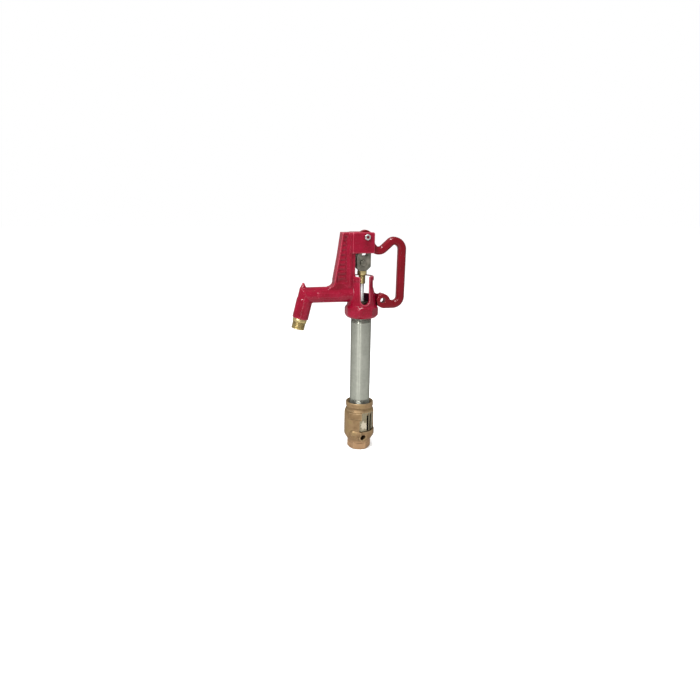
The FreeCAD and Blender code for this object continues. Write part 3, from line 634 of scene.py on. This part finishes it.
def add_screen():
    """Stainless sleeve with pairs of upright slots round it.

    first is the angle of a pair from straight in front, apart the angle between its two slots.
    """
    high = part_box("drain_screen")[1]
    half_wide, z0, z1 = 2.5, 44.5, 82.0
    pairs, first, apart = 5, 31.5, 16.0
    cut_deep, wall_middle = 4 * MM, high.x - 0.5 * MM
    piece = new_object("drain_screen_slotted", cad_mesh("drain_screen"))
    cutters = bmesh.new()
    size = Matrix.Diagonal((cut_deep, 2 * half_wide * MM, (z1 - z0) * MM, 1))
    place = Matrix.Translation((wall_middle, 0, (z0 + z1) / 2 * MM))
    for i in range(pairs):
        for side in (-1, 1):
            angle = first - 90 + 360 * i / pairs + side * apart / 2
            turn = Matrix.Rotation(math.radians(angle), 4, "Z")
            bmesh.ops.create_cube(cutters, size=1, matrix=turn @ place @ size)
    cut_away(piece, cutters)
    smooth_up_to(piece.data, 30)
    settle(piece, "drain_screen")


def add_fulcrum_bolt():
    """Bolt whose head has a shallow round dish that still holds some red paint."""
    low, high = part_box("fulcrum_bolt")
    x, z = (low.x + high.x) / 2, (low.z + high.z) / 2
    dish_r, dish_depth = 3.3 * MM, 1.1 * MM
    paint_from, paint_to = low.y + 0.2 * MM, low.y + 1.5 * MM
    piece = crisp_piece("fulcrum_bolt", 0.35)
    cutter = bmesh.new()
    place = Matrix.Translation((x, low.y, z)) @ Matrix.Rotation(math.pi / 2, 4, "X")
    bmesh.ops.create_cone(cutter, cap_ends=True, segments=32, radius1=dish_r * 0.8, radius2=dish_r,
                          depth=2 * dish_depth, matrix=place)
    cut_away(piece, cutter)
    piece.data.materials.append(MATERIALS["head_paint"])
    for face in piece.data.polygons:
        away = math.hypot(face.center.x - x, face.center.z - z)
        if away < dish_r * 0.99 and paint_from < face.center.y < paint_to:
            face.material_index = 1


# ---- build -----------------------------------------------------------------
# Each row: voxel, rounds of softening, and the skin's depth and size.
CAST = {
    "operating_handle": (0.75, 6, 0.12, 3.0),
    "valve_body": (0.7, 4, 0.16, 1.8),
    "pipe_coupling": (0.8, 3, 0.06, 1.8),
}
# Bevel in millimetres.
CRISP = {
    "fulcrum_nut": 0.5, "fulcrum_lock_washer": 0.2, "link_plate_front": 0.45,
    "link_plate_back": 0.45, "rod_connector": 0.6, "rod_bolt": 0.35, "rod_bolt_nut": 0.4,
    "lock_nut": 0.5, "packing_nut": 0.5, "operating_rod": 0.6, "set_screw": 0.3,
    "link_pin": 0.3, "drain_bushing": 0.2,
}

add_head()
for node, sizes in CAST.items():
    cast_piece(node, *sizes)
add_pipe()
add_nozzle()
add_adjusting_sleeve()
add_screen()
add_fulcrum_bolt()
for node, bevel in CRISP.items():
    crisp_piece(node, bevel)

# CAD nodes that no piece replaced are shown as they are, in their own material.
replaced = {name for piece in bpy.context.scene.objects for name in piece.get("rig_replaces", [])}
for name, node in NODES.items():
    if name not in replaced:
        for slot in node.material_slots:
            slot.material = MATERIALS[SLOT_OF[name]]

# ---- camera, floor and light -----------------------------------------------
# Angles in degrees, lens in millimetres, distances in metres.  An azimuth of 0 is straight in front (-Y),
# and a negative one is towards the spout.
CAMERA_AZIMUTH = -16.0
CAMERA_DISTANCE = 1.25
CAMERA_HEIGHT = 0.54
CAMERA_YAW = 1.004
CAMERA_PITCH = 14.567
CAMERA_ROLL = 0.891
CAMERA_LENS = 31.68
SENSOR_WIDTH = 36.0
VIEW_END = 20.0
FLOOR_HALF = 8.0
FLOOR_GLOW = 0.10
AIM_HEIGHT = 0.27
# Area lights: azimuth, distance, height, width, tallness, power in watts.
LIGHTS = {
    "key": (-20, 1.5, 0.70, 0.10, 1.2, 6),
    "top": (-30, 0.55, 1.9, 0.7, 0.25, 34),
    "spark": (-48, 1.2, 1.15, 0.25, 0.25, 22),
}


def standing(azimuth, distance, height):
    """Point at an azimuth and distance round the hydrant, at a height above the floor."""
    turn = math.radians(azimuth)
    return Vector((distance * math.sin(turn), -distance * math.cos(turn), height))


def add_camera():
    """Camera whose yaw, pitch and roll are those of the photograph."""
    yaw = math.radians(CAMERA_AZIMUTH + CAMERA_YAW)
    pitch = math.radians(CAMERA_PITCH)
    roll = math.radians(CAMERA_ROLL)
    ahead = math.cos(pitch)
    forward = Vector((-math.sin(yaw) * ahead, math.cos(yaw) * ahead, -math.sin(pitch)))
    right = Vector((math.cos(yaw), math.sin(yaw), 0))
    up = right.cross(forward)
    tilted_right = right * math.cos(roll) + up * math.sin(roll)
    tilted_up = up * math.cos(roll) - right * math.sin(roll)
    turn = Matrix((tilted_right, tilted_up, -forward)).transposed()
    data = bpy.data.cameras.new("camera")
    data.lens = CAMERA_LENS
    data.sensor_width = SENSOR_WIDTH
    data.clip_end = VIEW_END
    place = standing(CAMERA_AZIMUTH, CAMERA_DISTANCE, CAMERA_HEIGHT)
    camera = new_object("camera", data)
    camera.matrix_world = Matrix.Translation(place) @ turn.to_4x4()
    bpy.context.scene.camera = camera


def add_floor():
    """Plain pale floor with a faint glow, so that it reads as white paper."""
    half = FLOOR_HALF
    dark, light = (0.90, 0.90, 0.90), (0.93, 0.93, 0.93)
    mesh = bpy.data.meshes.new("floor")
    corners = [(-half, -half, 0), (half, -half, 0), (half, half, 0), (-half, half, 0)]
    mesh.from_pydata(corners, [], [(0, 1, 2, 3)])
    floor = new_object("floor", mesh)
    m = Finish("floor", 0.0)
    m.colour(m.shades(m.noise(6, 3), [(0.3, dark), (0.7, light)]))
    m.shader.inputs["Roughness"].default_value = 0.9
    m.shader.inputs["Emission Color"].default_value = (1, 1, 1, 1)
    m.shader.inputs["Emission Strength"].default_value = FLOOR_GLOW
    mesh.materials.append(m.material)


def add_light(name, azimuth, distance, height, width, tall, power):
    """Area light on the azimuth measured like the camera's, facing the hydrant."""
    place = standing(azimuth, distance, height)
    data = bpy.data.lights.new(name, "AREA")
    data.shape = "RECTANGLE"
    data.size = width
    data.size_y = tall
    data.energy = power
    facing = (Vector((0, 0, AIM_HEIGHT)) - place).to_track_quat("-Z", "Y")
    light = new_object(name, data)
    light.matrix_world = Matrix.Translation(place) @ facing.to_matrix().to_4x4()


def add_world():
    """Even white studio all round."""
    world = bpy.data.worlds.new("studio")
    world.use_nodes = True
    background = world.node_tree.nodes["Background"]
    background.inputs["Color"].default_value = (1, 1, 1, 1)
    background.inputs["Strength"].default_value = 1.0
    bpy.context.scene.world = world
    bpy.context.scene.view_settings.view_transform = "Standard"


add_camera()
add_floor()
add_world()
for name, settings in LIGHTS.items():
    add_light(name, *settings)
